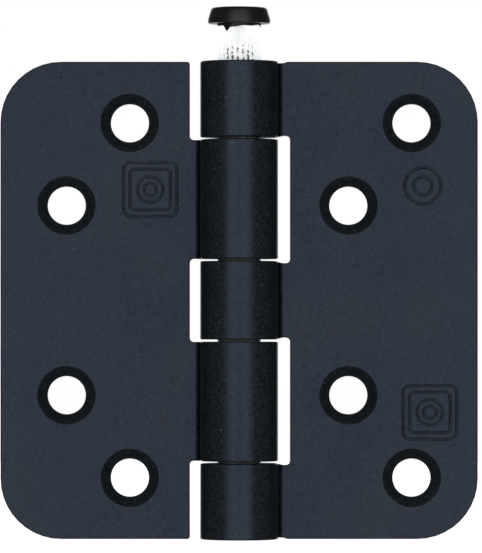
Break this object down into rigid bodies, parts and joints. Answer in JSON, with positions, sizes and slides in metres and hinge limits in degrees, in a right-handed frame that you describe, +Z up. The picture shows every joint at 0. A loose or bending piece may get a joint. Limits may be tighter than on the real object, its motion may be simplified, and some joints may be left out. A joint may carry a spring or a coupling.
{
  "type": "door hinge",
  "caption": "Flat-opened steel butt hinge with round-cornered leaves, interlocking rolled knuckles and a raised loose pin with a button head.",
  "frame": {"origin": "on the pin's axis, level with the lower edge of the leaves", "axes": "+Z is up along the pin towards its head; +Y is out of the leaves' flat backs, which lie against door and frame; +X runs from the pin across the frame leaf, and the door leaf lies on -X while the hinge is open flat"},
  "size_m": [0.089, 0.0144, 0.099],
  "materials": {
    "leaf_coating": "fine-textured black powder coat on pressed steel",
    "pin_zinc": "bright zinc plate on turned steel; the head is painted black"
  },
  "bodies": {
    "frame_side": {"frame_leaf": "leaf_coating"},
    "door_side": {"door_leaf": "leaf_coating"},
    "pin": {"hinge_pin": "pin_zinc"}
  },
  "joints": [
    {"name": "door_leaf_swing", "type": "hinge", "parent": "frame_side", "child": "door_side", "pos_m": [0, 0, 0.0445], "axis": [0, 0, 1], "range_deg": [-130, 180]},
    {"name": "pin_slide", "type": "slide", "parent": "frame_side", "child": "pin", "axis": [0, 0, 1], "range_m": [-0.007, 0.081]}
  ]
}
